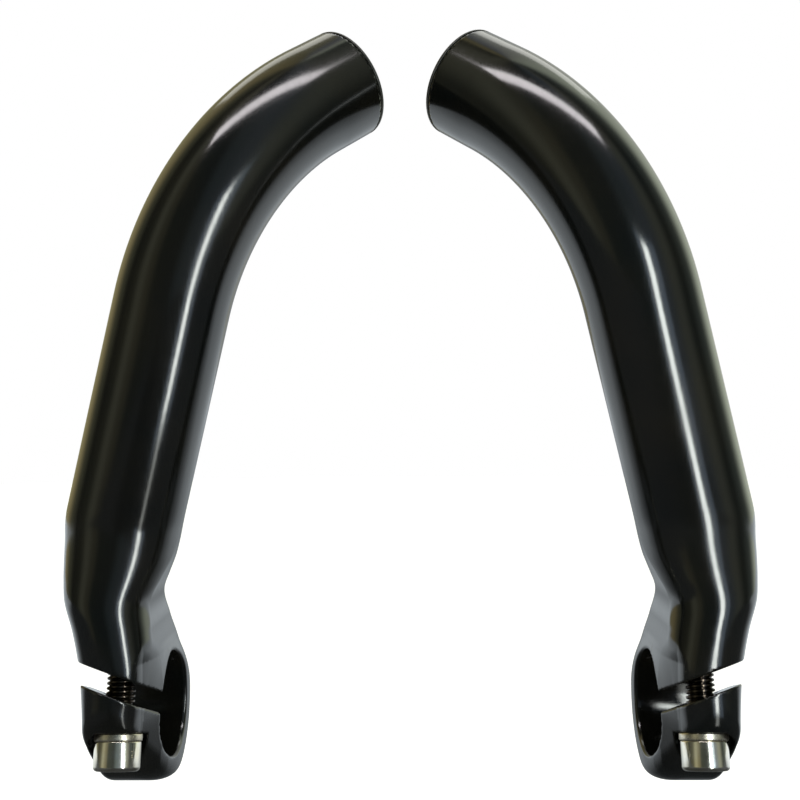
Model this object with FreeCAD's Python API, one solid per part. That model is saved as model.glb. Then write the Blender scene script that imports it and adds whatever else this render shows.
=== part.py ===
"""A mirrored pair of bolt-on bar end grips for a bicycle handlebar, in millimetres.

The handlebar runs along X and its axis is the X axis. The pair's plane of symmetry is X = 0, +Z points
along the grips, and -Y is the side of the clamp slits and their screws. Every solid is made for the
right-hand grip, at positive X, and mirrored for the left-hand one.
"""

import FreeCAD
import Part
import math
import os

from FreeCAD import Vector

# clamp and handlebar
BORE_RADIUS = 11.15
BORE_CHAMFER = 0.5
RING_RADIUS = 16.3
CLAMP_INNER_X = 51.2
CLAMP_OUTER_X = 67.9
CLAMP_BOTTOM_X = 65.2
CLAMP_TOP_Z = 9.8
CLAMP_TOP_INSET = 1.2
CLAMP_INSET_START_Z = 3.7
CLAMP_BACK_ANGLE_DEG = 35.0
CLAMP_CORNER_RADIUS = 3.2
CLAMP_EDGE_FILLET = 1.2
FLANK_TOP_Z = 20.0

# nose in front of the bore, which the clamp screw passes through
NOSE_FRONT_Y = -25.2
NOSE_BOTTOM_Z = 1.5
NOSE_FLAT_TOP_Z = 3.0
NOSE_TOP_SETBACK = 1.0
NOSE_X = 60.9
NOSE_RADIUS = 6.6
NOSE_SHOULDER_Y = -10.0

# slit between the jaws: its mid plane tilts outwards and forwards
SLIT_GAP = 4.0
SLIT_HEIGHT = 2.1
SLIT_RISE_OUTWARD = 0.369
SLIT_RISE_FORWARD = 0.316
SLIT_BACK_Y = -5.0

# clamp screw, M6 x 20, square to the slit as seen along X; its seat's centre is the washer's upper face
SCREW_X = 59.5
SCREW_Y = -18.0
SEAT_Z = -1.6
SCREW_TILT_DEG = 15.5
THREAD_RADIUS = 2.95
THREAD_ROOT_RADIUS = 2.45
THREAD_PITCH = 1.0
SCREW_LENGTH = 20.0
HEAD_RADIUS = 4.9
HEAD_HEIGHT = 5.8
HEAD_EDGE = 0.6
SOCKET_ACROSS_FLATS = 5.0
SOCKET_DEPTH = 3.2
COUNTERBORE_RADIUS = 5.9
CLEARANCE_HOLE_RADIUS = 3.3
CLEARANCE_HOLE_LENGTH = 8.5
TAPPED_HOLE_RADIUS = 3.0
SCREW_HOLES_LENGTH = 19.5
WASHER_RADIUS = 5.2
WASHER_BORE_RADIUS = 3.02
WASHER_THICKNESS = 1.5
WASHER_EDGE = 0.2

# tube
TUBE_RADIUS = 12.3
TUBE_WALL = 2.3
TUBE_START = Vector(60.6, -6.45, 42.0)
LEAN_INWARD_DEG = 13.6
LEAN_FORWARD_DEG = 2.8
BEND_CORNER_DISTANCE = 77.6
BEND_RADIUS = 66.7
TIP_ELEVATION_DEG = 36.8
TIP_BACKWARD_DEG = 30.9
TIP_DISTANCE = 41.2
HOLLOW_CONE_LENGTH = 6.0
HOLLOW_END_TAPER = 0.45

# neck sections, from the clamp up: height, mid X, mid Y, half width, half depth, squareness of the front
# half and of the back half, and tilt
NECK_SECTIONS = [
    (9.0, 60.1, -5.9, 7.6, 18.5, 3.0, 6.5, 0.0),
    (13.0, 60.4, -6.3, 7.8, 17.9, 3.0, 5.0, 0.0),
    (19.0, 61.5, -6.9, 8.1, 16.0, 2.9, 3.5, 0.0),
    (25.5, 63.0, -6.9, 9.0, 14.2, 3.0, 2.8, 0.3),
    (31.0, 62.6, -6.6, 10.6, 13.1, 2.8, 2.3, 0.7),
    (36.5, 61.7, -6.4, 11.9, 12.5, 2.3, 2.05, 1.0),
]
SECTION_POINTS = 28

# how far cutting tools reach past the material
CUT_MARGIN = 5.0

# the neck passes from just outside the tube's surface to just inside it, so that the two cross cleanly
SEAM = 0.04
NECK_OVERRUN = 3.0
TUBE_OVERLAP = 0.8

# push-in end plug
PLUG_RIM_THICKNESS = 1.2
PLUG_RIM_EDGE = 0.4
PLUG_STEM_LENGTH = 9.0
PLUG_RIB_CLEARANCE = 0.06
PLUG_RIB_HEIGHT = 0.5
PLUG_RIB_WIDTH = 1.0
PLUG_RIBS = 3
PLUG_WALL = 1.6


def direction_of_lean():
    """Unit vector along the straight part of the tube, from the clamp upwards."""
    inward = math.radians(LEAN_INWARD_DEG)
    forward = math.radians(LEAN_FORWARD_DEG)
    flat = math.cos(forward)
    return Vector(-math.sin(inward) * flat, -math.sin(forward), math.cos(inward) * flat)


def direction_of_tip():
    """Unit vector along the tube's straight end, out of its mouth."""
    up = math.radians(TIP_ELEVATION_DEG)
    back = math.radians(TIP_BACKWARD_DEG)
    flat = math.cos(back)
    return Vector(-math.cos(up) * flat, math.sin(back), math.sin(up) * flat)


def direction_of_screw():
    """Unit vector along the screw, from its head towards its tip."""
    tilt = math.radians(SCREW_TILT_DEG)
    return Vector(0, math.sin(tilt), math.cos(tilt))


LEAN = direction_of_lean()
TIP = direction_of_tip()
SCREW_AXIS = direction_of_screw()
SEAT = Vector(SCREW_X, SCREW_Y, SEAT_Z)
CORNER = TUBE_START + LEAN * BEND_CORNER_DISTANCE
MOUTH = CORNER + TIP * TIP_DISTANCE
HOLLOW_START = TUBE_START - LEAN * NECK_OVERRUN


def tube_path(start, end):
    """Line, tangent arc and line from a point on the straight part to one on the tip's axis."""
    turn = LEAN.getAngle(TIP)
    setback = BEND_RADIUS * math.tan(turn / 2)
    arc_start = CORNER - LEAN * setback
    arc_end = CORNER + TIP * setback
    to_centre = (TIP - LEAN).normalize()
    centre = CORNER + to_centre * (BEND_RADIUS / math.cos(turn / 2))
    middle = centre - to_centre * BEND_RADIUS
    arc = Part.Arc(arc_start, middle, arc_end)
    edges = [
        Part.LineSegment(start, arc_start).toShape(),
        arc.toShape(),
        Part.LineSegment(arc_end, end).toShape(),
    ]
    return Part.Wire(edges)


def round_sweep(radius, start, end):
    profile = Part.Wire([Part.makeCircle(radius, start, LEAN)])
    return tube_path(start, end).makePipeShell([profile], True, False)


def section(height, mid_x, mid_y, half_width, half_depth, front, back, tilt):
    """Closed superellipse outline; tilt 1 sets its plane square to the tube's straight part."""
    normal = (Vector(0, 0, 1) * (1 - tilt) + LEAN * tilt).normalize()
    across = Vector(0, 1, 0).cross(normal).normalize()
    deep = normal.cross(across)
    centre = Vector(mid_x, mid_y, height)
    points = []
    for i in range(SECTION_POINTS):
        angle = 2 * math.pi * i / SECTION_POINTS
        c = math.cos(angle)
        s = math.sin(angle)
        power = 2.0 / (back if s > 0 else front)
        u = half_width * math.copysign(abs(c) ** power, c)
        v = half_depth * math.copysign(abs(s) ** power, s)
        points.append(centre + across * u + deep * v)
    outline = Part.BSplineCurve()
    outline.interpolate(points, PeriodicFlag=True)
    return Part.Wire([outline.toShape()])


def neck():
    """Loft from inside the clamp block up to the round tube."""
    wires = [section(*values) for values in NECK_SECTIONS]
    for distance, radius in ((0.0, TUBE_RADIUS + SEAM), (NECK_OVERRUN, TUBE_RADIUS - SEAM)):
        p = TUBE_START + LEAN * distance
        wires.append(section(p.z, p.x, p.y, radius, radius, 2.0, 2.0, 1.0))
    return Part.makeLoft(wires, True, False, False)


def prism(points, along):
    """Extrusion of a closed outline of straight lines."""
    wire = Part.makePolygon(points + [points[0]])
    return Part.Face(wire).extrude(along)


def side_profile():
    """Clamp seen along X: ring, nose with a sloping underside, and a flat top, extruded across X."""
    width = Vector(CLAMP_OUTER_X - CLAMP_INNER_X, 0, 0)
    nose_reach = math.hypot(NOSE_FRONT_Y, NOSE_BOTTOM_Z)
    low_angle = math.atan2(NOSE_BOTTOM_Z, NOSE_FRONT_Y) + math.acos(RING_RADIUS / nose_reach)
    back_angle = math.radians(CLAMP_BACK_ANGLE_DEG) + 2 * math.pi

    def at(y, z):
        return Vector(CLAMP_INNER_X, y, z)

    def on_ring(angle):
        return at(RING_RADIUS * math.cos(angle), RING_RADIUS * math.sin(angle))

    low = on_ring(low_angle)
    bottom = on_ring((low_angle + back_angle) / 2)
    back = on_ring(back_angle)
    back_top = at(back.y - (CLAMP_TOP_Z - back.z) * math.tan(back_angle), CLAMP_TOP_Z)
    corners = [
        back,
        back_top,
        at(NOSE_FRONT_Y + NOSE_TOP_SETBACK, CLAMP_TOP_Z),
        at(NOSE_FRONT_Y, NOSE_FLAT_TOP_Z),
        at(NOSE_FRONT_Y, NOSE_BOTTOM_Z),
        low,
    ]
    edges = [Part.LineSegment(a, b).toShape() for a, b in zip(corners, corners[1:])]
    edges.insert(0, Part.Arc(low, bottom, back).toShape())
    return Part.Face(Part.Wire(edges)).extrude(width)


def plan_profile():
    """Clamp seen from above: parallel faces that close in to a rounded nose, extruded along Z."""
    z = -RING_RADIUS - CUT_MARGIN
    far_y = RING_RADIUS + CUT_MARGIN
    nose_y = NOSE_FRONT_Y + NOSE_RADIUS
    corners = [
        Vector(NOSE_X - NOSE_RADIUS, nose_y, z),
        Vector(CLAMP_INNER_X, NOSE_SHOULDER_Y, z),
        Vector(CLAMP_INNER_X, far_y, z),
        Vector(CLAMP_OUTER_X, far_y, z),
        Vector(CLAMP_OUTER_X, NOSE_SHOULDER_Y, z),
        Vector(NOSE_X + NOSE_RADIUS, nose_y, z),
    ]
    edges = [Part.LineSegment(a, b).toShape() for a, b in zip(corners, corners[1:])]
    tip = Vector(NOSE_X, NOSE_FRONT_Y, z)
    edges.append(Part.Arc(corners[-1], tip, corners[0]).toShape())
    height = CLAMP_TOP_Z + RING_RADIUS + 2 * CUT_MARGIN
    return Part.Face(Part.Wire(edges)).extrude(Vector(0, 0, height))


def front_profile():
    """Clamp seen from the front: its outer side tapers downwards and its lower corners are round."""
    y = 2 * NOSE_FRONT_Y
    low = -RING_RADIUS
    r = CLAMP_CORNER_RADIUS
    bulge = r * (1 - math.sqrt(0.5))

    def at(x, z):
        return Vector(x, y, z)

    inner, outer = CLAMP_INNER_X, CLAMP_BOTTOM_X
    outline = [
        Part.LineSegment(at(inner + CLAMP_TOP_INSET, CLAMP_TOP_Z), at(inner, CLAMP_INSET_START_Z)),
        Part.LineSegment(at(inner, CLAMP_INSET_START_Z), at(inner, low + r)),
        Part.Arc(at(inner, low + r), at(inner + bulge, low + bulge), at(inner + r, low)),
        Part.LineSegment(at(inner + r, low), at(outer - r, low)),
        Part.Arc(at(outer - r, low), at(outer - bulge, low + bulge), at(outer, low + r)),
        Part.LineSegment(at(outer, low + r), at(CLAMP_OUTER_X, CLAMP_TOP_Z)),
        Part.LineSegment(at(CLAMP_OUTER_X, CLAMP_TOP_Z), at(inner + CLAMP_TOP_INSET, CLAMP_TOP_Z)),
    ]
    wire = Part.Wire([piece.toShape() for piece in outline])
    return Part.Face(wire).extrude(Vector(0, -2 * y, 0))


def clamp_block():
    """Overlap of the three outlines, with round edges along its two side faces."""
    side = side_profile()
    below_top = [edge for edge in side.Edges if edge.CenterOfMass.z < CLAMP_TOP_Z - CLAMP_EDGE_FILLET]
    on_faces = [edge for edge in below_top if edge.BoundBox.XLength < CLAMP_EDGE_FILLET]
    side = side.makeFillet(CLAMP_EDGE_FILLET, on_faces)
    return side.common(plan_profile()).common(front_profile())


def flank():
    """Cut along the clamp's and the neck's inner side, where they close in towards the nose."""
    z = -RING_RADIUS - CUT_MARGIN
    nose_y = NOSE_FRONT_Y + NOSE_RADIUS
    nose_side_x = NOSE_X - NOSE_RADIUS
    corners = [
        Vector(CLAMP_INNER_X - CUT_MARGIN, NOSE_SHOULDER_Y, z),
        Vector(CLAMP_INNER_X, NOSE_SHOULDER_Y, z),
        Vector(nose_side_x, nose_y, z),
        Vector(nose_side_x, NOSE_FRONT_Y - CUT_MARGIN, z),
        Vector(CLAMP_INNER_X - CUT_MARGIN, NOSE_FRONT_Y - CUT_MARGIN, z),
    ]
    return prism(corners, Vector(0, 0, FLANK_TOP_Z - z))


def slit_height(x, y):
    """Height of the slit's mid plane."""
    return SLIT_HEIGHT + (x - SCREW_X) * SLIT_RISE_OUTWARD - y * SLIT_RISE_FORWARD


def slit():
    """Flat cut from the front into the bore, of SLIT_GAP square to its walls."""
    normal = Vector(-SLIT_RISE_OUTWARD, SLIT_RISE_FORWARD, 1).normalize()
    inner_x = CLAMP_INNER_X - CUT_MARGIN
    outer_x = CLAMP_OUTER_X + CUT_MARGIN
    front_y = NOSE_FRONT_Y - CUT_MARGIN
    corners = [
        Vector(x, y, slit_height(x, y)) - normal * (SLIT_GAP / 2)
        for x, y in (
            (inner_x, front_y),
            (outer_x, front_y),
            (outer_x, SLIT_BACK_Y),
            (inner_x, SLIT_BACK_Y),
        )
    ]
    return prism(corners, normal * SLIT_GAP)


def bore():
    """Handlebar hole through the clamp, flared at its inner mouth."""
    length = CLAMP_OUTER_X - CLAMP_INNER_X + 2 * CUT_MARGIN
    along = Vector(1, 0, 0)
    hole = Part.makeCylinder(BORE_RADIUS, length, Vector(CLAMP_INNER_X - CUT_MARGIN, 0, 0), along)
    flare = 2 * BORE_CHAMFER
    wide = BORE_RADIUS + flare
    start = Vector(CLAMP_INNER_X - BORE_CHAMFER, 0, 0)
    mouth = Part.makeCone(wide, BORE_RADIUS, flare, start, along)
    return hole.fuse(mouth)


def screw_holes():
    """Counterbore from below, clearance hole in the lower jaw and tapped hole in the upper one."""
    down = SCREW_AXIS * -1
    counterbore = Part.makeCylinder(COUNTERBORE_RADIUS, 2 * RING_RADIUS, SEAT, down)
    clearance = Part.makeCylinder(CLEARANCE_HOLE_RADIUS, CLEARANCE_HOLE_LENGTH, SEAT, SCREW_AXIS)
    tapped = Part.makeCylinder(TAPPED_HOLE_RADIUS, SCREW_HOLES_LENGTH, SEAT, SCREW_AXIS)
    return counterbore.fuse(clearance).fuse(tapped)


def on_screw_axis(shape):
    """Moves a shape made along Z, with the seat at its origin, to the screw's place."""
    turn = FreeCAD.Rotation(Vector(0, 0, 1), SCREW_AXIS)
    shape.Placement = FreeCAD.Placement(SEAT, turn)
    return shape


def grip_body():
    """Neck, bent tube and clamp in one piece, hollow from the mouth down into the neck."""
    tube = round_sweep(TUBE_RADIUS, TUBE_START + LEAN * TUBE_OVERLAP, MOUTH)
    inner_radius = TUBE_RADIUS - TUBE_WALL
    hollow = round_sweep(inner_radius, HOLLOW_START, MOUTH + TIP)
    end_radius = inner_radius * HOLLOW_END_TAPER
    hollow_end = Part.makeCone(inner_radius, end_radius, HOLLOW_CONE_LENGTH, HOLLOW_START, LEAN * -1)
    solid = neck().fuse(tube).fuse(clamp_block())
    for tool in (hollow, hollow_end, flank(), bore(), slit(), screw_holes()):
        solid = solid.cut(tool)
    return solid.removeSplitter()


def hexagon(across_flats, centre, along):
    radius = across_flats / math.sqrt(3)
    points = []
    for i in range(6):
        angle = math.radians(60 * i)
        points.append(centre + Vector(radius * math.cos(angle), radius * math.sin(angle), 0))
    return prism(points, along)


def clamp_screw():
    """Socket head cap screw, head down, with its thread as grooves between crest and root."""
    bearing_z = -WASHER_THICKNESS
    bottom_z = bearing_z - HEAD_HEIGHT
    top_z = bearing_z + SCREW_LENGTH
    outline = [
        (0, bottom_z),
        (HEAD_RADIUS - HEAD_EDGE, bottom_z),
        (HEAD_RADIUS, bottom_z + HEAD_EDGE),
        (HEAD_RADIUS, bearing_z),
        (THREAD_RADIUS, bearing_z),
    ]
    z = bearing_z + 2 * THREAD_PITCH
    while z + THREAD_PITCH < top_z:
        outline.append((THREAD_RADIUS, z))
        outline.append((THREAD_ROOT_RADIUS, z + THREAD_PITCH / 2))
        z += THREAD_PITCH
    outline.append((THREAD_RADIUS, z))
    outline.append((THREAD_ROOT_RADIUS, top_z))
    outline.append((0, top_z))
    points = [Vector(r, 0, height) for r, height in outline]
    face = Part.Face(Part.makePolygon(points + [points[0]]))
    turned = face.revolve(Vector(0, 0, 0), Vector(0, 0, 1), 360)
    socket = hexagon(SOCKET_ACROSS_FLATS, Vector(0, 0, bottom_z), Vector(0, 0, SOCKET_DEPTH))
    return on_screw_axis(turned.cut(socket))


def washer():
    base = Vector(0, 0, -WASHER_THICKNESS)
    disc = Part.makeCylinder(WASHER_RADIUS, WASHER_THICKNESS, base)
    disc = disc.makeChamfer(WASHER_EDGE, [edge for edge in disc.Edges if edge.isClosed()])
    return on_screw_axis(disc.cut(Part.makeCylinder(WASHER_BORE_RADIUS, WASHER_THICKNESS, base)))


def end_plug():
    """Cup with a thin rim over the tube's end and a stem that three ribs centre in the tube."""
    rib_radius = TUBE_RADIUS - TUBE_WALL - PLUG_RIB_CLEARANCE
    stem_radius = rib_radius - PLUG_RIB_HEIGHT
    inside_radius = stem_radius - PLUG_WALL
    edge_radius = TUBE_RADIUS - PLUG_RIM_EDGE
    outline = [
        (0, PLUG_RIM_THICKNESS),
        (edge_radius, PLUG_RIM_THICKNESS),
        (TUBE_RADIUS, PLUG_RIM_THICKNESS - PLUG_RIM_EDGE),
        (TUBE_RADIUS, 0),
        (stem_radius, 0),
    ]
    spacing = PLUG_STEM_LENGTH / (PLUG_RIBS + 1)
    for i in range(1, PLUG_RIBS + 1):
        depth = -i * spacing
        outline.append((stem_radius, depth + PLUG_RIB_WIDTH / 2))
        outline.append((rib_radius, depth + PLUG_RIB_WIDTH / 4))
        outline.append((rib_radius, depth - PLUG_RIB_WIDTH / 4))
        outline.append((stem_radius, depth - PLUG_RIB_WIDTH / 2))
    outline.append((stem_radius, -PLUG_STEM_LENGTH))
    outline.append((inside_radius, -PLUG_STEM_LENGTH))
    outline.append((inside_radius, 0))
    outline.append((0, 0))
    points = [Vector(r, 0, z) for r, z in outline]
    face = Part.Face(Part.makePolygon(points + [points[0]]))
    plug = face.revolve(Vector(0, 0, 0), Vector(0, 0, 1), 360)
    turn = FreeCAD.Rotation(Vector(0, 0, 1), TIP)
    plug.Placement = FreeCAD.Placement(MOUTH, turn)
    return plug


def save(shape, name):
    if shape.ShapeType == "Compound" and len(shape.Solids) == 1:
        shape = shape.Solids[0]
    print(name, shape.isValid(), len(shape.Solids), round(shape.Volume, 1))
    shape.exportStep("parts/" + name + ".step")


def main():
    os.makedirs("parts", exist_ok=True)
    pieces = {
        "grip_body": grip_body(),
        "clamp_screw": clamp_screw(),
        "washer": washer(),
        "end_plug": end_plug(),
    }
    for name, shape in pieces.items():
        save(shape, "right_" + name)
        save(shape.mirror(Vector(0, 0, 0), Vector(1, 0, 0)), "left_" + name)


main()
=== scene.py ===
"""Looks of a mirrored pair of black anodised bar end grips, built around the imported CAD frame.

Shapes are worked out in millimetres for the right-hand grip, in the frame's axes, and mirrored for the
left-hand one. The grip's skin is the zero surface of a signed distance field.
"""

import math

import bpy
import numpy as np
from mathutils import Matrix, Vector


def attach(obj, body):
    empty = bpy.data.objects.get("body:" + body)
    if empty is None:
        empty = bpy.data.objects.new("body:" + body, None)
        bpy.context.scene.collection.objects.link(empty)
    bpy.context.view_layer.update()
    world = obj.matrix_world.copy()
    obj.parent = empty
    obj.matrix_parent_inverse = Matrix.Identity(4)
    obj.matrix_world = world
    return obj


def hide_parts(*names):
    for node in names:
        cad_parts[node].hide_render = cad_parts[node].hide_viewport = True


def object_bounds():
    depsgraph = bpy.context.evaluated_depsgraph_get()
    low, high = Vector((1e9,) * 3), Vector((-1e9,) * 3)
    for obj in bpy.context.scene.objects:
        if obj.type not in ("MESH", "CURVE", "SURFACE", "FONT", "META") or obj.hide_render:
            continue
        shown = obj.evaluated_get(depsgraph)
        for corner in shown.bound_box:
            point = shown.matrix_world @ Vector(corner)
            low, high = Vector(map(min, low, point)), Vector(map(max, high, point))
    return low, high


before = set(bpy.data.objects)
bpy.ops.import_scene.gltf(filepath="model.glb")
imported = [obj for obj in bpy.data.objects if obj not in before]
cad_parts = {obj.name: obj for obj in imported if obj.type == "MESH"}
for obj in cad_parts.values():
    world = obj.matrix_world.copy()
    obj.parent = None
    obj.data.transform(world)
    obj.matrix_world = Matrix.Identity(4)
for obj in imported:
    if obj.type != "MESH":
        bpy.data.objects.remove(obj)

CAD_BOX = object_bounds()
MM = 0.001
SIDES = {"left": -1, "right": 1}

# clamp
BORE_RADIUS = 11.15
RING_RADIUS = 16.3
CLAMP_INNER_X = 51.2
CLAMP_OUTER_X = 67.9
CLAMP_BOTTOM_X = 65.7
CLAMP_TOP_Z = 9.8
NOSE_FRONT_Y = -25.2
NOSE_BOTTOM_Z = 1.5
NOSE_X = 60.9
NOSE_RADIUS = 6.6
NOSE_SHOULDER_Y = -10.0
NOSE_LEAN = 0.17
NOSE_FOOT_Z = -6.0
NOSE_WIDENING = 3.5
SLIT_GAP = 4.0
SLIT_HEIGHT = 2.1
SLIT_RISE_OUTWARD = 0.369
SLIT_RISE_FORWARD = 0.316
SLIT_BACK_Y = -5.0
FLANK_TOP_Z = 13.0
FLANK_RUN_OUT = 0.35
FLANK_ROUNDED_BELOW = (-2.0, 10.0)
FLANK_ROUNDED_BEFORE = (-6.0, 12.0)
SCREW_SEAT = np.array([59.5, -18.0, -1.6])
SCREW_TILT = math.radians(15.5)
SCREW_AXIS = np.array([0.0, math.sin(SCREW_TILT), math.cos(SCREW_TILT)])
COUNTERBORE_RADIUS = 5.9
CLEARANCE_HOLE_RADIUS = 3.3
CLEARANCE_HOLE_LENGTH = 8.5
TAPPED_HOLE_RADIUS = 3.0
SCREW_HOLES_LENGTH = 19.5

# tube
TUBE_RADIUS = 12.3
TUBE_WALL = 2.3
TUBE_START = np.array([60.6, -6.45, 42.0])
LEAN_INWARD = math.radians(13.6)
LEAN_FORWARD = math.radians(2.8)
BEND_CORNER_DISTANCE = 77.6
BEND_RADIUS = 66.7
TIP_ELEVATION = math.radians(36.8)
TIP_BACKWARD = math.radians(30.9)
TIP_DISTANCE = 41.2

# level sections of the neck, rounded rectangles: height, mid X, mid Y, half width, half depth, and the
# corner radii in front and behind
NECK_SECTIONS = np.array([
    (2.0, 59.9, -5.25, 7.8, 19.05, 6.6, 3.0),
    (9.0, 60.1, -5.15, 7.75, 18.05, 7.0, 3.0),
    (13.0, 60.5, -5.55, 7.85, 17.2, 7.6, 3.6),
    (19.0, 61.6, -6.5, 8.15, 15.6, 8.1, 5.5),
    (25.5, 62.9, -6.85, 9.1, 14.15, 9.0, 7.8),
    (29.0, 62.4, -6.7, 10.2, 13.6, 10.1, 9.6),
    (33.0, 61.7, -6.55, 11.35, 12.9, 11.3, 11.0),
    (36.5, 61.2, -6.4, 11.95, 12.55, 11.9, 11.9),
    (40.0, 60.8, -6.4, 12.38, 12.35, 12.3, 12.3),
    (44.0, 60.12, -6.55, 12.62, 12.3, 12.3, 12.3),
    (54.0, 57.7, -7.04, 12.65, 12.3, 12.3, 12.3),
])
NECK_TO_TUBE_Z = (38.0, 46.0)
CLAMP_TO_NECK_Z = (1.0, 15.0)

# rounding widths of edges
ROUND_RING = 2.2
ROUND_NOSE = 2.2
ROUND_FLANK = 1.7
ROUND_FLANK_BELOW = 7.0
ROUND_BORE = 0.9
ROUND_CUT = 0.45
ROUND_MOUTH = 0.5

# sampling of the field
STEP_ACROSS = 0.5
STEP_CLAMP = 0.46
STEP_TUBE = 1.05
CLAMP_SAMPLED_TO_Z = 24.0
SAMPLED_FROM = (2.0, -27.0, -18.0)
SAMPLED_TO = (76.0, 22.0, 150.0)


def unit(v):
    v = np.asarray(v, float)
    return v / np.linalg.norm(v)


LEAN = np.array([
    -math.sin(LEAN_INWARD) * math.cos(LEAN_FORWARD),
    -math.sin(LEAN_FORWARD),
    math.cos(LEAN_INWARD) * math.cos(LEAN_FORWARD),
])
TIP = np.array([
    -math.cos(TIP_ELEVATION) * math.cos(TIP_BACKWARD),
    math.sin(TIP_BACKWARD),
    math.sin(TIP_ELEVATION) * math.cos(TIP_BACKWARD),
])
CORNER = TUBE_START + LEAN * BEND_CORNER_DISTANCE
MOUTH = CORNER + TIP * TIP_DISTANCE
TURN = math.acos(float(LEAN @ TIP))
SETBACK = BEND_RADIUS * math.tan(TURN / 2)
ARC_START = CORNER - LEAN * SETBACK
ARC_END = CORNER + TIP * SETBACK
ARC_CENTRE = CORNER + unit(TIP - LEAN) * (BEND_RADIUS / math.cos(TURN / 2))


def smooth_max(a, b, width):
    h = np.clip(0.5 + 0.5 * (a - b) / width, 0.0, 1.0)
    return b + (a - b) * h + width * h * (1.0 - h)


def cut_away(solid, tool, width):
    """Solid without tool, with the edges between them rounded."""
    return smooth_max(solid, -tool, width)


def smooth_step(value, limits):
    t = np.clip((value - limits[0]) / (limits[1] - limits[0]), 0.0, 1.0)
    return t * t * (3.0 - 2.0 * t)


def to_segment(p, a, b):
    """Distance to the straight line from a to b."""
    ab = b - a
    t = np.clip(((p - a) @ ab) / (ab @ ab), 0.0, 1.0)
    return np.linalg.norm(p - a - t[..., None] * ab, axis=-1)


def to_arc(p):
    """Distance to the bend's centre line."""
    first = unit(ARC_START - ARC_CENTRE)
    normal = unit(np.cross(first, LEAN))
    q = p - ARC_CENTRE
    side = q @ normal
    along = q @ first
    onward = q @ LEAN
    angle = np.clip(np.arctan2(onward, along), 0.0, TURN)
    flat = (along - BEND_RADIUS * np.cos(angle)) ** 2 + (onward - BEND_RADIUS * np.sin(angle)) ** 2
    return np.sqrt(flat + side ** 2)


def to_path(p, start, end):
    straight = np.minimum(to_segment(p, start, ARC_START), to_segment(p, ARC_END, end))
    return np.minimum(straight, to_arc(p))


def neck_values(z):
    """The neck's section values at height z, on a smooth curve through the listed sections."""
    heights = NECK_SECTIONS[:, 0]
    slopes = np.gradient(NECK_SECTIONS[:, 1:], heights, axis=0)
    z = np.clip(z, heights[0], heights[-1])
    i = np.clip(np.searchsorted(heights, z, side="right") - 1, 0, len(heights) - 2)
    span = (heights[i + 1] - heights[i])[..., None]
    t = ((z - heights[i])[..., None]) / span
    low, high = NECK_SECTIONS[i, 1:], NECK_SECTIONS[i + 1, 1:]
    curve = (2 * t**3 - 3 * t**2 + 1) * low + (t**3 - 2 * t**2 + t) * span * slopes[i]
    curve += (3 * t**2 - 2 * t**3) * high + (t**3 - t**2) * span * slopes[i + 1]
    return np.moveaxis(curve, -1, 0)


def neck_field(p):
    """Distance to the neck's rounded outline at the height of each point."""
    mid_x, mid_y, half_x, half_y, front, back = neck_values(p[..., 2])
    corner = np.where(p[..., 1] > mid_y, back, front)
    u = np.abs(p[..., 0] - mid_x) - half_x + corner
    v = np.abs(p[..., 1] - mid_y) - half_y + corner
    outside = np.hypot(np.maximum(u, 0.0), np.maximum(v, 0.0))
    return outside + np.minimum(np.maximum(u, v), 0.0) - corner


def clamp_field(p):
    """Ring and nose: side outline, plan outline and tapering outer side, with rounded edges."""
    x, y, z = p[..., 0], p[..., 1], p[..., 2]
    reach = math.hypot(NOSE_FRONT_Y, NOSE_BOTTOM_Z)
    low_angle = math.atan2(NOSE_BOTTOM_Z, NOSE_FRONT_Y) + math.acos(RING_RADIUS / reach)
    out_y, out_z = math.sin(low_angle), -math.cos(low_angle)
    along = np.maximum(y * out_y + z * out_z, 0.0)
    side = np.hypot(y - along * out_y, z - along * out_z) - RING_RADIUS
    side = smooth_max(side, NOSE_FRONT_Y - y, ROUND_NOSE)
    nose_y = NOSE_FRONT_Y + NOSE_RADIUS
    leaning_y = y - NOSE_LEAN * (z - NOSE_FOOT_Z)
    widening = np.clip((leaning_y - nose_y) / (NOSE_SHOULDER_Y - nose_y), 0.0, 1.5)
    plan = np.hypot(x - NOSE_X, np.minimum(leaning_y - nose_y, 0.0)) - NOSE_RADIUS
    plan = plan - NOSE_WIDENING * widening
    solid = smooth_max(side, plan, ROUND_NOSE)
    height = np.clip((z + RING_RADIUS) / (CLAMP_TOP_Z + RING_RADIUS), 0.0, 1.2)
    outer = CLAMP_BOTTOM_X + (CLAMP_OUTER_X - CLAMP_BOTTOM_X) * height
    return smooth_max(solid, x - outer, ROUND_RING)


def flank_field(p):
    """Inner side of clamp and neck, closing in towards the nose."""
    nose_y = NOSE_FRONT_Y + NOSE_RADIUS
    share = np.clip((NOSE_SHOULDER_Y - p[..., 1]) / (NOSE_SHOULDER_Y - nose_y), 0.0, 1.0)
    face = CLAMP_INNER_X + (NOSE_X - NOSE_RADIUS - CLAMP_INNER_X) * share
    return face - p[..., 0] - FLANK_RUN_OUT * np.maximum(p[..., 2] - FLANK_TOP_Z, 0.0)


def slit_field(p):
    normal = unit([-SLIT_RISE_OUTWARD, SLIT_RISE_FORWARD, 1.0])
    middle = np.array([SCREW_SEAT[0], 0.0, SLIT_HEIGHT])
    slab = np.abs((p - middle) @ normal) - SLIT_GAP / 2
    return np.maximum(slab, p[..., 1] - SLIT_BACK_Y)


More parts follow.
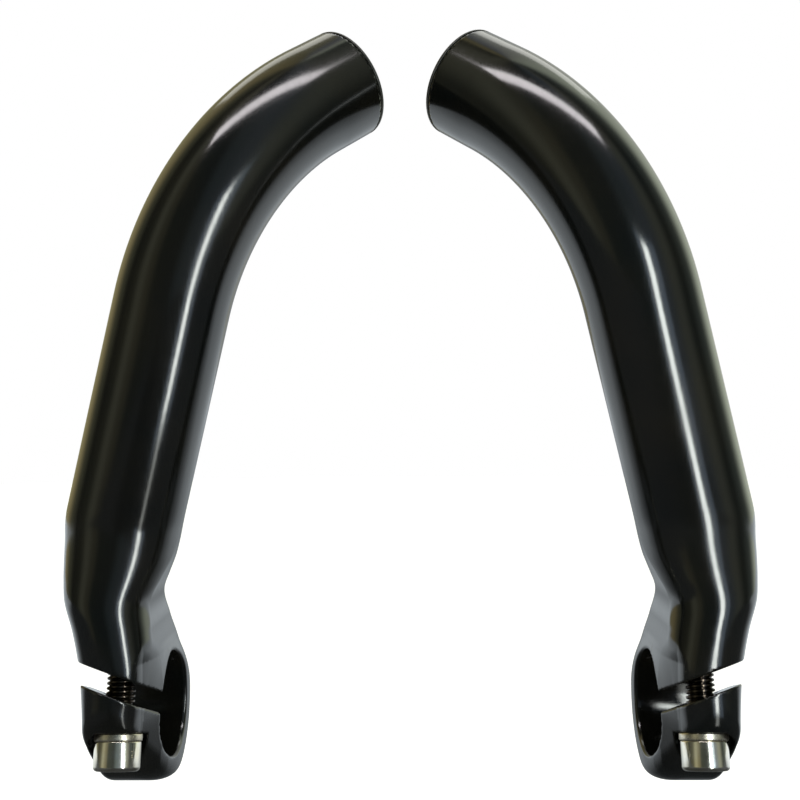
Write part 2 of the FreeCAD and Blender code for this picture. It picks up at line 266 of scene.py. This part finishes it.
def screw_hole_field(p):
    """Counterbore below the seat, clearance hole above it, and the tapped hole over the slit."""
    along = (p - SCREW_SEAT) @ SCREW_AXIS
    radial = np.linalg.norm(p - SCREW_SEAT - along[..., None] * SCREW_AXIS, axis=-1)
    counterbore = np.maximum(radial - COUNTERBORE_RADIUS, along)
    clearance = np.maximum(radial - CLEARANCE_HOLE_RADIUS, along - CLEARANCE_HOLE_LENGTH)
    tapped = np.maximum(radial - TAPPED_HOLE_RADIUS, along - SCREW_HOLES_LENGTH)
    return np.minimum(counterbore, np.minimum(clearance, tapped))


def grip_field(p):
    """Signed distance of the right-hand grip body, in millimetres, negative inside."""
    z = p[..., 2]
    tube = to_path(p, TUBE_START - LEAN * 12, MOUTH + TIP * 8) - TUBE_RADIUS
    lower = clamp_field(p)
    lower = lower + (neck_field(p) - lower) * smooth_step(z, CLAMP_TO_NECK_Z)
    below = smooth_step(-z, FLANK_ROUNDED_BELOW) * smooth_step(-p[..., 1], FLANK_ROUNDED_BEFORE)
    lower = smooth_max(lower, flank_field(p), ROUND_FLANK + (ROUND_FLANK_BELOW - ROUND_FLANK) * below)
    solid = lower + (tube - lower) * smooth_step(z, NECK_TO_TUBE_Z)
    solid = smooth_max(solid, (p - MOUTH) @ TIP, ROUND_MOUTH)
    hollow = to_path(p, TUBE_START, MOUTH + TIP * 8) - (TUBE_RADIUS - TUBE_WALL)
    solid = cut_away(solid, hollow, ROUND_MOUTH)
    solid = cut_away(solid, np.hypot(p[..., 1], z) - BORE_RADIUS, ROUND_BORE)
    solid = cut_away(solid, slit_field(p), ROUND_CUT)
    return cut_away(solid, screw_hole_field(p), ROUND_CUT)


CORNERS = np.array([(i, j, k) for i in (0, 1) for j in (0, 1) for k in (0, 1)])
CELL_EDGES = [
    (a, b)
    for a in range(8)
    for b in range(a + 1, 8)
    if np.abs(CORNERS[a] - CORNERS[b]).sum() == 1
]


def surface_net(values, axes):
    """Vertices and outward quads of the zero surface of a field sampled on a box grid."""
    inside = values < 0
    cells = tuple(n - 1 for n in values.shape)
    count = np.zeros(cells, np.uint8)
    for i, j, k in CORNERS:
        count += inside[i : i + cells[0], j : j + cells[1], k : k + cells[2]]
    active = np.argwhere((count > 0) & (count < 8))
    number = np.full(cells, -1, np.int64)
    number[tuple(active.T)] = np.arange(len(active))

    total = np.zeros((len(active), 3))
    hits = np.zeros(len(active))
    for a, b in CELL_EDGES:
        va = values[tuple((active + CORNERS[a]).T)]
        vb = values[tuple((active + CORNERS[b]).T)]
        crossed = (va < 0) != (vb < 0)
        t = np.where(crossed, va / np.where(va == vb, 1.0, va - vb), 0.0)
        point = CORNERS[a] + t[:, None] * (CORNERS[b] - CORNERS[a])
        total += np.where(crossed[:, None], point, 0.0)
        hits += crossed
    local = total / hits[:, None]
    vertices = np.empty_like(local)
    for d in range(3):
        low = axes[d][active[:, d]]
        high = axes[d][active[:, d] + 1]
        vertices[:, d] = low + local[:, d] * (high - low)

    quads = []
    for d in range(3):
        e, f = (d + 1) % 3, (d + 2) % 3
        first = np.take(inside, range(values.shape[d] - 1), axis=d)
        second = np.take(inside, range(1, values.shape[d]), axis=d)
        nodes = np.argwhere(first != second)
        nodes = nodes[(nodes[:, e] > 0) & (nodes[:, f] > 0)]
        outward = first[tuple(nodes.T)]
        ring = []
        for de, df in ((-1, -1), (0, -1), (0, 0), (-1, 0)):
            cell = nodes.copy()
            cell[:, e] += de
            cell[:, f] += df
            ring.append(number[tuple(cell.T)])
        quad = np.stack(ring, axis=1)
        quad[~outward] = quad[~outward][:, ::-1]
        quads.append(quad)
    return vertices, np.vstack(quads)


def field_slope(points, step=0.05):
    """Gradient of the grip's field."""
    slope = np.empty_like(points)
    for d in range(3):
        shift = np.zeros(3)
        shift[d] = step
        slope[:, d] = (grip_field(points + shift) - grip_field(points - shift)) / (2 * step)
    return slope


def settle(points, rounds):
    """Moves points onto the zero surface."""
    for _ in range(rounds):
        value = grip_field(points)
        slope = field_slope(points)
        move = -value[:, None] * slope / np.maximum((slope**2).sum(1), 0.05)[:, None]
        reach = np.linalg.norm(move, axis=1)
        limit = np.minimum(1.0, STEP_ACROSS / np.maximum(reach, 1e-9))
        points = points + move * limit[:, None]
    return points


def relax(points, quads, rounds):
    """Evens out the vertices along the surface."""
    starts = np.concatenate([quads[:, i] for i in range(4)])
    ends = np.concatenate([quads[:, (i + 1) % 4] for i in range(4)])
    links = np.bincount(starts, minlength=len(points)) + np.bincount(ends, minlength=len(points))
    for _ in range(rounds):
        mean = np.empty_like(points)
        for d in range(3):
            total = np.bincount(starts, points[ends, d], len(points))
            total += np.bincount(ends, points[starts, d], len(points))
            mean[:, d] = total / links
        points = settle(points + 0.5 * (mean - points), 1)
    return points


def grip_surface():
    """Vertices in millimetres, quads and vertex normals of the right-hand grip body."""
    coarse = 1.0
    across = STEP_ACROSS * coarse
    axes = [
        np.arange(SAMPLED_FROM[0], SAMPLED_TO[0], across),
        np.arange(SAMPLED_FROM[1], SAMPLED_TO[1], across),
        np.concatenate([
            np.arange(SAMPLED_FROM[2], CLAMP_SAMPLED_TO_Z, STEP_CLAMP * coarse),
            np.arange(CLAMP_SAMPLED_TO_Z, SAMPLED_TO[2], STEP_TUBE * coarse),
        ]),
    ]
    values = np.empty([len(a) for a in axes], np.float32)
    level_y, level_z = np.meshgrid(axes[1], axes[2], indexing="ij")
    for i, x in enumerate(axes[0]):
        points = np.stack([np.full_like(level_y, x), level_y, level_z], axis=-1)
        values[i] = grip_field(points)
    vertices, quads = surface_net(values, axes)
    vertices = settle(vertices, 3)
    vertices = relax(vertices, quads, 3)
    vertices = settle(vertices, 3)
    slope = field_slope(vertices, 0.02)
    normals = slope / np.maximum(np.linalg.norm(slope, axis=1), 1e-6)[:, None]
    return vertices, quads, normals


def new_object(name, vertices, faces, normals=None, sharp_angle=None):
    """A mesh object from vertices in millimetres."""
    mesh = bpy.data.meshes.new(name)
    mesh.from_pydata((np.asarray(vertices) * MM).tolist(), [], faces)
    mesh.validate()
    mesh.shade_smooth()
    if normals is not None:
        mesh.normals_split_custom_set_from_vertices(normals.tolist())
    if sharp_angle is not None:
        mesh.set_sharp_from_angle(angle=math.radians(sharp_angle))
    obj = bpy.data.objects.new(name, mesh)
    bpy.context.scene.collection.objects.link(obj)
    return obj


# screw details
HEAD_RADIUS = 4.75
HEAD_HEIGHT = 5.8
SCREW_LENGTH = 20.0
WASHER_RADIUS = 4.9
WASHER_THICKNESS = 1.5
THREAD_RADIUS = 2.95
THREAD_ROOT_RADIUS = 2.4
THREAD_PITCH = 1.0
THREAD_STEPS = 8
SOCKET_ACROSS_FLATS = 5.0
SOCKET_DEPTH = 3.2
HEAD_ROUND = 0.9
SPOKES = 96
SHARP_ANGLE = 38


def ring_around(radius, z):
    """Points of one ring; radius is a number or one value per spoke."""
    angle = 2 * math.pi * np.arange(SPOKES) / SPOKES
    r = np.broadcast_to(radius, SPOKES)
    return np.stack([r * np.cos(angle), r * np.sin(angle), np.full(SPOKES, float(z))], axis=1)


def skin_rings(rings, closed=False):
    """Quads between rings that run upwards, outside on the right of their order; ends are capped."""
    faces = []
    count = len(rings)
    for i in range(count if closed else count - 1):
        a, b = i * SPOKES, ((i + 1) % count) * SPOKES
        for s in range(SPOKES):
            t = (s + 1) % SPOKES
            faces.append((a + s, a + t, b + t, b + s))
    vertices = np.vstack(rings)
    if not closed:
        for end, ring in ((0, rings[0]), (count - 1, rings[-1])):
            centre = len(vertices)
            vertices = np.vstack([vertices, ring.mean(0)])
            base = end * SPOKES
            for s in range(SPOKES):
                t = (s + 1) % SPOKES
                faces.append((centre, base + t, base + s) if end == 0 else (centre, base + s, base + t))
    return vertices, faces


def hexagon_radii(across_flats):
    angle = 2 * math.pi * np.arange(SPOKES) / SPOKES
    fold = (angle + math.pi / 6) % (math.pi / 3) - math.pi / 6
    return across_flats / 2 / np.cos(fold)


def arc_points(centre, radius, start, end, steps):
    """Radius and height of points on a quarter or other arc, from start to end degrees."""
    points = []
    for i in range(steps + 1):
        a = math.radians(start + (end - start) * i / steps)
        points.append((centre[0] + radius * math.cos(a), centre[1] + radius * math.sin(a)))
    return points


def thread_radii(z, bottom, top):
    """Radius round the screw at height z of a right-hand thread that fades out at both ends."""
    turns = np.arange(SPOKES) / SPOKES
    phase = (z / THREAD_PITCH - turns) % 1.0
    ridge = np.clip(2.3 * (1 - np.abs(2 * phase - 1)) - 0.35, 0.0, 1.0)
    depth = (THREAD_RADIUS - THREAD_ROOT_RADIUS) * min(1.0, max(0.0, (z - bottom) / THREAD_PITCH))
    radius = THREAD_RADIUS - depth * (1 - ridge)
    chamfer = THREAD_ROOT_RADIUS - 0.25 + max(0.0, top - z)
    return np.minimum(radius, chamfer)


def screw_mesh():
    """Cap screw along Z, its head down: a hexagon socket and a helical thread. The seat is at height 0."""
    bearing = -WASHER_THICKNESS
    bottom = bearing - HEAD_HEIGHT
    top = bearing + SCREW_LENGTH
    hexagon = hexagon_radii(SOCKET_ACROSS_FLATS)
    rings = [
        ring_around(0.4, bottom + SOCKET_DEPTH + 0.7),
        ring_around(SOCKET_ACROSS_FLATS * 0.44, bottom + SOCKET_DEPTH + 0.1),
        ring_around(hexagon, bottom + SOCKET_DEPTH),
        ring_around(hexagon, bottom + 0.5),
        ring_around(np.maximum(hexagon, SOCKET_ACROSS_FLATS * 0.56), bottom + 0.12),
        ring_around(SOCKET_ACROSS_FLATS * 0.60, bottom),
    ]
    edge = arc_points((HEAD_RADIUS - HEAD_ROUND, bottom + HEAD_ROUND), HEAD_ROUND, -90, 0, 8)
    rim = arc_points((HEAD_RADIUS - 0.2, bearing - 0.2), 0.2, 0, 90, 4)
    neck = [(THREAD_RADIUS + 0.25, bearing), (THREAD_RADIUS + 0.05, bearing + 0.15)]
    rings += [ring_around(r, z) for r, z in edge + rim + neck]
    start = bearing + 0.4
    steps = int((top - start) / THREAD_PITCH * THREAD_STEPS)
    for i in range(steps + 1):
        z = start + (top - start) * i / steps
        rings.append(ring_around(thread_radii(z, start, top), z))
    return skin_rings(rings)


def washer_mesh():
    """Stamped washer: square-cut hole, rolled outer edge."""
    low, high = -WASHER_THICKNESS, 0.0
    outer = WASHER_RADIUS
    inner = THREAD_RADIUS + 0.15
    outline = arc_points((outer - 0.35, low + 0.35), 0.35, -90, 0, 5)
    outline += arc_points((outer - 0.2, high - 0.2), 0.2, 0, 90, 4)
    outline += arc_points((inner + 0.15, high - 0.15), 0.15, 90, 180, 3)
    outline += arc_points((inner + 0.1, low + 0.1), 0.1, 180, 270, 3)
    return skin_rings([ring_around(r, z) for r, z in outline], closed=True)


# plug details
PLUG_RIM = 1.2
PLUG_RIM_ROUND = 0.45
PLUG_CROWN = 0.35
PLUG_GROOVE = 0.12
PLUG_STEM = 9.0
PLUG_RIBS = 3
PLUG_WALL = 1.6


def plug_mesh():
    """Push-in cap on the tube's mouth: crowned rim, ribbed stem and a hollow inside."""
    bore = TUBE_RADIUS - TUBE_WALL
    rib = bore - 0.06
    stem = rib - 0.55
    inner = stem - PLUG_WALL
    outline = [(0.5, -0.4), (inner - 0.8, -0.4), (inner, -1.0), (inner, -PLUG_STEM + 0.3)]
    outline += [(inner + 0.3, -PLUG_STEM), (stem - 0.5, -PLUG_STEM), (stem, -PLUG_STEM + 0.5)]
    spacing = PLUG_STEM / (PLUG_RIBS + 1)
    for i in range(PLUG_RIBS, 0, -1):
        z = -i * spacing
        outline += [(stem, z - 0.55), (rib - 0.08, z - 0.3), (rib, z - 0.1), (rib, z + 0.15), (stem, z + 0.3)]
    outline += [(stem, PLUG_GROOVE), (bore + 0.4, PLUG_GROOVE), (TUBE_RADIUS - 0.2, PLUG_GROOVE)]
    outline += arc_points((TUBE_RADIUS - 0.15, PLUG_GROOVE + 0.15), 0.15, -90, 0, 3)
    rim_top = PLUG_RIM - PLUG_CROWN
    outline += arc_points((TUBE_RADIUS - PLUG_RIM_ROUND, rim_top - PLUG_RIM_ROUND), PLUG_RIM_ROUND, 0, 80, 6)
    face_edge = outline[-1]
    for share in (0.85, 0.65, 0.45, 0.25, 0.05):
        rise = (PLUG_RIM - face_edge[1]) * (1 - share**2)
        outline.append((face_edge[0] * share, face_edge[1] + rise))
    vertices, faces = skin_rings([ring_around(r, z) for r, z in outline])
    turn = Vector((0, 0, 1)).rotation_difference(Vector(TIP)).to_matrix()
    return vertices @ np.array(turn).T + MOUTH, faces


# materials


class Nodes:
    """Short calls for building one material's node tree."""

    def __init__(self, name):
        self.material = bpy.data.materials.new(name)
        self.material.use_nodes = True
        self.tree = self.material.node_tree
        self.shader = self.tree.nodes["Principled BSDF"]

    def add(self, kind, **values):
        node = self.tree.nodes.new(kind)
        for key, value in values.items():
            if key in node.inputs:
                node.inputs[key].default_value = value
            else:
                setattr(node, key, value)
        return node

    def link(self, source, target):
        self.tree.links.new(source, target)

    def position(self, scale):
        """Object position, stretched by scale per axis, in metres times scale."""
        place = self.add("ShaderNodeTexCoord")
        mapping = self.add("ShaderNodeMapping")
        mapping.inputs["Scale"].default_value = scale
        self.link(place.outputs["Object"], mapping.inputs["Vector"])
        return mapping.outputs["Vector"]

    def noise(self, vector, scale, detail=3.0, roughness=0.5):
        node = self.add("ShaderNodeTexNoise", Scale=scale, Detail=detail, Roughness=roughness)
        self.link(vector, node.inputs["Vector"])
        return node.outputs["Fac"]

    def spread(self, source, low, high, from_low=0.3, from_high=0.7):
        node = self.add("ShaderNodeMapRange")
        node.inputs["From Min"].default_value = from_low
        node.inputs["From Max"].default_value = from_high
        node.inputs["To Min"].default_value = low
        node.inputs["To Max"].default_value = high
        self.link(source, node.inputs["Value"])
        return node.outputs["Result"]

    def math(self, operation, a, b):
        node = self.add("ShaderNodeMath", operation=operation)
        for socket, value in zip(node.inputs, (a, b)):
            if isinstance(value, (int, float)):
                socket.default_value = value
            else:
                self.link(value, socket)
        return node.outputs[0]

    def mix(self, factor, a, b):
        node = self.add("ShaderNodeMix", data_type="RGBA")
        self.link(factor, node.inputs[0])
        for socket, value in ((node.inputs[6], a), (node.inputs[7], b)):
            if isinstance(value, tuple):
                socket.default_value = value
            else:
                self.link(value, socket)
        return node.outputs[2]

    def bump(self, height, strength, distance, below=None):
        node = self.add("ShaderNodeBump", Strength=strength, Distance=distance)
        self.link(height, node.inputs["Height"])
        if below is not None:
            self.link(below, node.inputs["Normal"])
        return node.outputs["Normal"]


def black_anodised():
    """Polished aluminium under a clear black anodised layer, with faint polishing lines along the tube."""
    m = Nodes("black_anodised")
    m.shader.inputs["Metallic"].default_value = 0.0
    m.shader.inputs["IOR"].default_value = 1.62
    lines = m.noise(m.position((1.0, 1.0, 0.03)), 2600, detail=2.0)
    clouds = m.noise(m.position((1.0, 1.0, 1.0)), 55, detail=4.0)
    specks = m.noise(m.position((1.0, 1.0, 1.0)), 900, detail=2.0)
    warm = (0.0042, 0.0038, 0.0024, 1.0)
    cold = (0.0018, 0.0024, 0.0024, 1.0)
    colour = m.mix(m.spread(clouds, 0.0, 1.0), cold, warm)
    edges = m.add("ShaderNodeNewGeometry").outputs["Pointiness"]
    wear = m.math("MULTIPLY", m.spread(edges, 0.0, 0.5, 0.56, 0.66), m.spread(specks, 0.0, 1.0, 0.45, 0.6))
    colour = m.mix(wear, colour, (0.02, 0.02, 0.02, 1.0))
    m.link(colour, m.shader.inputs["Base Color"])
    rough = m.math("ADD", m.spread(lines, 0.0, 0.04), m.spread(clouds, 0.10, 0.15))
    m.link(m.math("ADD", rough, m.math("MULTIPLY", wear, 0.3)), m.shader.inputs["Roughness"])
    peel = m.bump(clouds, 0.06, 0.0006)
    m.link(m.bump(lines, 0.035, 0.00004, peel), m.shader.inputs["Normal"])
    return m.material


def bright_steel():
    """Zinc plated steel with a slight yellow cast and turning marks round the screw's axis; the shank inside
    the clamp has painted shade.
    """
    m = Nodes("bright_steel")
    m.shader.inputs["Metallic"].default_value = 1.0
    turning = m.noise(m.position((0.12, 0.12, 1.0)), 5200, detail=2.0)
    patches = m.noise(m.position((1.0, 1.0, 1.0)), 260, detail=3.0)
    colour = m.mix(m.spread(patches, 0.0, 1.0), (0.76, 0.70, 0.55, 1.0), (0.82, 0.79, 0.72, 1.0))
    # Painted shade: the screw is coloured a dark brown from just above its seat upwards, where it runs inside
    # the clamp's holes and slit.
    height = m.add("ShaderNodeSeparateXYZ")
    m.link(m.position((1.0, 1.0, 1.0)), height.inputs[0])
    painted_shade_in_clamp = m.spread(height.outputs["Z"], 0.0, 1.0, -0.001, 0.001)
    colour = m.mix(painted_shade_in_clamp, colour, (0.06, 0.048, 0.038, 1.0))
    m.link(colour, m.shader.inputs["Base Color"])
    rough = m.math("ADD", m.spread(turning, 0.0, 0.05), m.spread(patches, 0.09, 0.15))
    m.link(rough, m.shader.inputs["Roughness"])
    m.link(m.bump(turning, 0.04, 0.00001), m.shader.inputs["Normal"])
    return m.material


def washer_steel():
    """Duller plated steel with a fine stamped grain."""
    m = Nodes("washer_steel")
    m.shader.inputs["Metallic"].default_value = 1.0
    grain = m.noise(m.position((1.0, 1.0, 1.0)), 3200, detail=2.0)
    patches = m.noise(m.position((1.0, 1.0, 1.0)), 300, detail=3.0)
    colour = m.mix(m.spread(patches, 0.0, 1.0), (0.52, 0.47, 0.36, 1.0), (0.70, 0.66, 0.56, 1.0))
    m.link(colour, m.shader.inputs["Base Color"])
    m.link(m.spread(grain, 0.24, 0.38), m.shader.inputs["Roughness"])
    m.link(m.bump(grain, 0.15, 0.00003), m.shader.inputs["Normal"])
    return m.material


def black_plastic():
    """Satin moulded plastic with a fine eroded grain."""
    m = Nodes("black_plastic")
    m.shader.inputs["IOR"].default_value = 1.48
    grain = m.noise(m.position((1.0, 1.0, 1.0)), 2400, detail=3.0)
    patches = m.noise(m.position((1.0, 1.0, 1.0)), 120, detail=3.0)
    colour = m.mix(m.spread(patches, 0.0, 1.0), (0.022, 0.023, 0.020, 1.0), (0.036, 0.036, 0.032, 1.0))
    m.link(colour, m.shader.inputs["Base Color"])
    m.link(m.spread(grain, 0.30, 0.42), m.shader.inputs["Roughness"])
    m.link(m.bump(grain, 0.2, 0.00004), m.shader.inputs["Normal"])
    return m.material


def build_pieces():
    """Every visible piece of both grips, riding on its CAD body."""
    surface, quads, normals = grip_surface()
    shapes = {
        "grip_shell": (surface, quads.tolist(), "grip_body", "grip", "black_anodised", black_anodised()),
        "cap_screw": (*screw_mesh(), "clamp_screw", "screw", "bright_steel", bright_steel()),
        "plain_washer": (*washer_mesh(), "washer", "washer", "bright_steel", washer_steel()),
        "tube_plug": (*plug_mesh(), "end_plug", "plug", "black_plastic", black_plastic()),
    }
    upright = np.array(Matrix.Rotation(-SCREW_TILT, 3, "X")).T
    for side_name, side in SIDES.items():
        flip = np.array([side, 1, 1])
        for piece, (vertices, faces, node, body, slot, material) in shapes.items():
            shade = None
            if node in ("clamp_screw", "washer"):
                vertices = vertices @ upright + SCREW_SEAT * flip
            else:
                vertices = vertices * flip
                faces = [face[::side] for face in faces]
            if node == "grip_body":
                shade = normals * flip
            sharp = None if node == "grip_body" else SHARP_ANGLE
            obj = new_object(side_name + "_" + piece, vertices, faces, shade, sharp)
            obj.data.materials.append(material)
            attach(obj, side_name + "_" + body)
            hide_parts(side_name + "_" + node)


build_pieces()


# stage

CAMERA_DISTANCE = 248.7
CAMERA_HEIGHT = 66.3
CAMERA_X = 1.1
CAMERA_ROLL = math.radians(0.45)
CAMERA_TURN = math.radians(1.26)
CAMERA_LENS = 51.0
CAMERA_SENSOR = 36.0
CAMERA_SHIFT_X = 0.016
FLOOR_GAP = 5.0
FLOOR_RADIUS = 3000.0
FLOOR_SPOKES = 64
FLOOR_GLOW = 0.8

# brightness of the floor in reflections: it grows to the rear, and again to both sides; metres
REAR_SPAN = (0.1, 0.4)
REAR_LEVELS = (0.04, 0.45)
SIDE_SPAN = (0.1, 0.45)
SIDE_FACTORS = (1.0, 2.4)


def set_camera():
    """The photo's camera: level, in front, turned a little and rolled a little."""
    data = bpy.data.cameras.new("camera")
    data.lens = CAMERA_LENS
    data.sensor_width = CAMERA_SENSOR
    data.shift_x = CAMERA_SHIFT_X
    data.clip_start = 0.01
    data.clip_end = 20.0
    camera = bpy.data.objects.new("camera", data)
    camera.location = Vector((CAMERA_X, -CAMERA_DISTANCE, CAMERA_HEIGHT)) * MM
    camera.rotation_euler = (math.pi / 2, CAMERA_ROLL, CAMERA_TURN)
    bpy.context.scene.collection.objects.link(camera)
    bpy.context.scene.camera = camera


def ramp_node(tree, source, span, levels):
    """Map Range node that turns source, over span, into levels."""
    node = tree.nodes.new("ShaderNodeMapRange")
    node.inputs["From Min"].default_value, node.inputs["From Max"].default_value = span
    node.inputs["To Min"].default_value, node.inputs["To Max"].default_value = levels
    tree.links.new(source, node.inputs["Value"])
    return node


def math_node(tree, operation, *sources):
    """Math node fed by output sockets."""
    node = tree.nodes.new("ShaderNodeMath")
    node.operation = operation
    for source, socket in zip(sources, node.inputs):
        tree.links.new(source, socket)
    return node


def floor_material():
    """Glowing white to the camera; reflections see a dimmer, bluish floor that is dark in front."""
    material = bpy.data.materials.new("floor_white")
    material.use_nodes = True
    tree = material.node_tree
    shader = tree.nodes["Principled BSDF"]
    shader.inputs["Base Color"].default_value = (0.9, 0.9, 0.9, 1.0)
    shader.inputs["Roughness"].default_value = 0.9
    shader.inputs["Specular IOR Level"].default_value = 0.0
    shader.inputs["Emission Color"].default_value = (1.0, 1.0, 1.0, 1.0)
    shader.inputs["Emission Strength"].default_value = FLOOR_GLOW

    place = tree.nodes.new("ShaderNodeTexCoord")
    split = tree.nodes.new("ShaderNodeSeparateXYZ")
    tree.links.new(place.outputs["Object"], split.inputs[0])
    rear = ramp_node(tree, split.outputs["Y"], REAR_SPAN, REAR_LEVELS)
    sideways = math_node(tree, "ABSOLUTE", split.outputs["X"])
    side = ramp_node(tree, sideways.outputs[0], SIDE_SPAN, SIDE_FACTORS)
    level = math_node(tree, "MULTIPLY", rear.outputs["Result"], side.outputs["Result"])
    dim = tree.nodes.new("ShaderNodeEmission")
    dim.inputs["Color"].default_value = (0.92, 1.0, 1.05, 1.0)
    tree.links.new(level.outputs[0], dim.inputs["Strength"])

    mix = tree.nodes.new("ShaderNodeMixShader")
    path = tree.nodes.new("ShaderNodeLightPath")
    tree.links.new(path.outputs["Is Glossy Ray"], mix.inputs[0])
    tree.links.new(shader.outputs[0], mix.inputs[1])
    tree.links.new(dim.outputs[0], mix.inputs[2])
    tree.links.new(mix.outputs[0], tree.nodes["Material Output"].inputs["Surface"])
    return material


def set_floor():
    """A pale floor, low enough for a grip turned half way round the bar."""
    z = -CAD_BOX[1][2] - FLOOR_GAP * MM
    radius = FLOOR_RADIUS * MM
    angles = np.linspace(0, 2 * math.pi, FLOOR_SPOKES, False)
    ring = [(radius * math.cos(a), radius * math.sin(a), z) for a in angles]
    mesh = bpy.data.meshes.new("floor")
    mesh.from_pydata(ring, [], [tuple(range(FLOOR_SPOKES))])
    floor = bpy.data.objects.new("floor", mesh)
    bpy.context.scene.collection.objects.link(floor)
    mesh.materials.append(floor_material())


def add_light(name, target, azimuth, elevation, distance, size, radiance, colour):
    """A rectangular lamp aimed at target; azimuth 0 is at -Y and 90 at +X. Lengths in millimetres."""
    az, el = math.radians(azimuth), math.radians(elevation)
    away = Vector((math.sin(az) * math.cos(el), -math.cos(az) * math.cos(el), math.sin(el)))
    data = bpy.data.lights.new(name, "AREA")
    data.shape = "RECTANGLE"
    data.size, data.size_y = size[0] * MM, size[1] * MM
    data.energy = radiance * math.pi * data.size * data.size_y
    data.color = colour
    lamp = bpy.data.objects.new(name, data)
    lamp.location = (Vector(target) + away * distance) * MM
    lamp.rotation_euler = away.to_track_quat("Z", "Y").to_euler()
    lamp.visible_camera = False
    bpy.context.scene.collection.objects.link(lamp)


# brightness and colour of the surroundings by direction: degrees round from -Y towards +X
SURROUNDINGS = [
    (-180, (0.34, 0.37, 0.42)),
    (-160, (0.40, 0.37, 0.20)),
    (-128, (0.66, 0.56, 0.28)),
    (-105, (0.22, 0.22, 0.14)),
    (-90, (0.06, 0.06, 0.045)),
    (-75, (0.10, 0.10, 0.07)),
    (-58, (0.38, 0.38, 0.27)),
    (-44, (0.22, 0.21, 0.14)),
    (-30, (0.06, 0.07, 0.06)),
    (-5, (0.05, 0.06, 0.06)),
    (14, (0.14, 0.18, 0.20)),
    (36, (0.20, 0.24, 0.28)),
    (58, (0.30, 0.32, 0.26)),
    (80, (0.05, 0.06, 0.055)),
    (100, (0.16, 0.19, 0.17)),
    (128, (1.22, 1.33, 1.06)),
    (160, (0.71, 0.73, 0.65)),
    (180, (0.34, 0.37, 0.42)),
]
BRIGHTEST = 2.0


def set_world():
    """White seen directly; reflections see surroundings that vary with direction round the grips."""
    world = bpy.data.worlds.new("studio")
    bpy.context.scene.world = world
    world.use_nodes = True
    tree = world.node_tree
    tree.nodes.clear()

    def new(kind):
        return tree.nodes.new(kind)

    # angle round the vertical axis, 0 at -Y and growing towards +X
    place = new("ShaderNodeTexCoord")
    split = new("ShaderNodeSeparateXYZ")
    front = new("ShaderNodeMath")
    front.operation = "MULTIPLY"
    front.inputs[1].default_value = -1.0
    tree.links.new(place.outputs["Generated"], split.inputs[0])
    tree.links.new(split.outputs["Y"], front.inputs[0])
    angle = math_node(tree, "ARCTAN2", split.outputs["X"], front.outputs[0])
    turn = ramp_node(tree, angle.outputs[0], (-math.pi, math.pi), (0.0, 1.0))

    ramp = new("ShaderNodeValToRGB")
    stops = ramp.color_ramp
    stops.interpolation = "EASE"
    while len(stops.elements) < len(SURROUNDINGS):
        stops.elements.new(0.5)
    for element, (degrees, colour) in zip(stops.elements, SURROUNDINGS):
        element.position = (degrees + 180) / 360
        element.color = (*(c / BRIGHTEST for c in colour), 1.0)
    tree.links.new(turn.outputs["Result"], ramp.inputs[0])
    around = new("ShaderNodeBackground")
    around.inputs["Strength"].default_value = BRIGHTEST
    tree.links.new(ramp.outputs["Color"], around.inputs["Color"])

    seen = new("ShaderNodeBackground")
    seen.inputs["Color"].default_value = (1.0, 1.0, 1.0, 1.0)
    mix = new("ShaderNodeMixShader")
    path = new("ShaderNodeLightPath")
    tree.links.new(path.outputs["Is Camera Ray"], mix.inputs[0])
    tree.links.new(around.outputs[0], mix.inputs[1])
    tree.links.new(seen.outputs[0], mix.inputs[2])
    tree.links.new(mix.outputs[0], new("ShaderNodeOutputWorld").inputs[0])


set_camera()
set_floor()
set_world()
MIDDLE = tuple((CAD_BOX[0][i] + CAD_BOX[1][i]) / 2 / MM for i in range(3))
ON_TUBES = (0, -7, 70)
UNDER_TUBES = (0, -7, -51)
DAYLIGHT = (0.96, 1.0, 0.94)
add_light("window", ON_TUBES, 29.5, 0, 216, (28, 162), 15.0, DAYLIGHT)
add_light("window_foot", UNDER_TUBES, 29.5, 0, 216, (24, 80), 3.0, DAYLIGHT)
add_light("window_surround", ON_TUBES, 31, 0, 230, (100, 190), 0.8, (0.75, 0.95, 1.2))
add_light("overhead", MIDDLE, 0, 67, 560, (520, 85), 10.0, (1.0, 0.95, 0.97))
add_light("sky_behind", MIDDLE, 180, 58, 560, (620, 170), 1.5, (1.0, 1.0, 0.95))
bpy.context.scene.view_settings.view_transform = "Standard"
